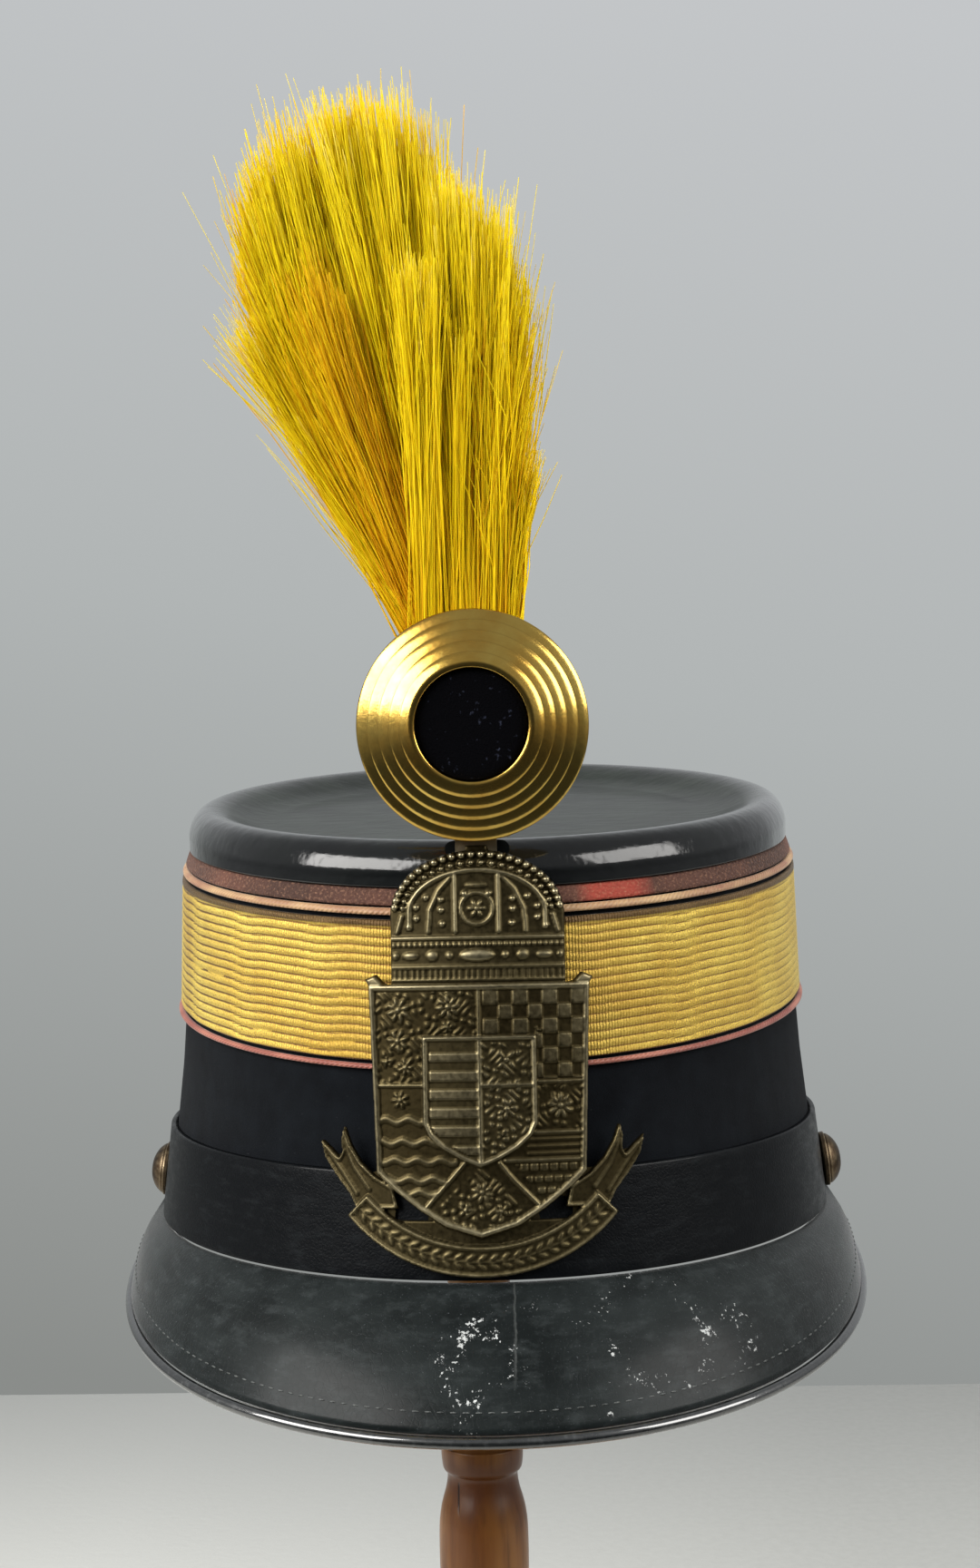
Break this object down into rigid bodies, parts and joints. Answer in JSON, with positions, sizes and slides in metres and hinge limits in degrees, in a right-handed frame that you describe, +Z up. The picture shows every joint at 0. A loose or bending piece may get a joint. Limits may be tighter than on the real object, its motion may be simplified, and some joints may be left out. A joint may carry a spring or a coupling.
{
  "type": "shako hat on a turned wooden stand",
  "caption": "Oval felt shako with leather top and peak, gold lace band, cast front badge, brass boss and tall horsehair plume, held by a turned wooden stand with a round foot.",
  "frame": {"origin": "middle of the stand foot's underside", "axes": "+Z up along the stand's post, -Y towards the hat's front with the peak and the badge, +X towards the right of someone who looks at the front"},
  "size_m": [0.1812, 0.2231, 0.4627],
  "materials": {
    "navy_felt": "dense near-black navy wool felt",
    "patent_leather": "black patent leather, worn dull in the dished middle",
    "lacquered_leather": "black lacquered leather, half gloss",
    "worn_leather": "black leather with crackled and flaking lacquer",
    "gold_lace": "woven gold lace with fine ribs",
    "maroon_braid": "speckled maroon wool braid",
    "red_piping": "faded red piping",
    "aged_bronze": "dark aged bronze, worn light on the raised edges",
    "polished_brass": "polished brass, slightly tarnished",
    "black_velvet": "black velvet",
    "yellow_horsehair": "dyed yellow horsehair",
    "honey_wood": "varnished honey-brown turned wood"
  },
  "bodies": {
    "root": {"crown_body": "navy_felt", "crown_top": "patent_leather", "headband": "lacquered_leather", "gold_lace_band": "gold_lace", "upper_braid": "maroon_braid", "upper_piping": "red_piping", "lower_piping": "red_piping", "peak": "worn_leather", "peak_binding": "lacquered_leather", "button_left": "aged_bronze", "button_right": "aged_bronze", "badge": "aged_bronze", "cockade_boss": "polished_brass", "cockade_center": "black_velvet", "plume_holder": "aged_bronze", "plume": "yellow_horsehair", "stand_foot": "honey_wood", "stand_post": "honey_wood", "stand_head": "honey_wood"}
  },
  "joints": []
}
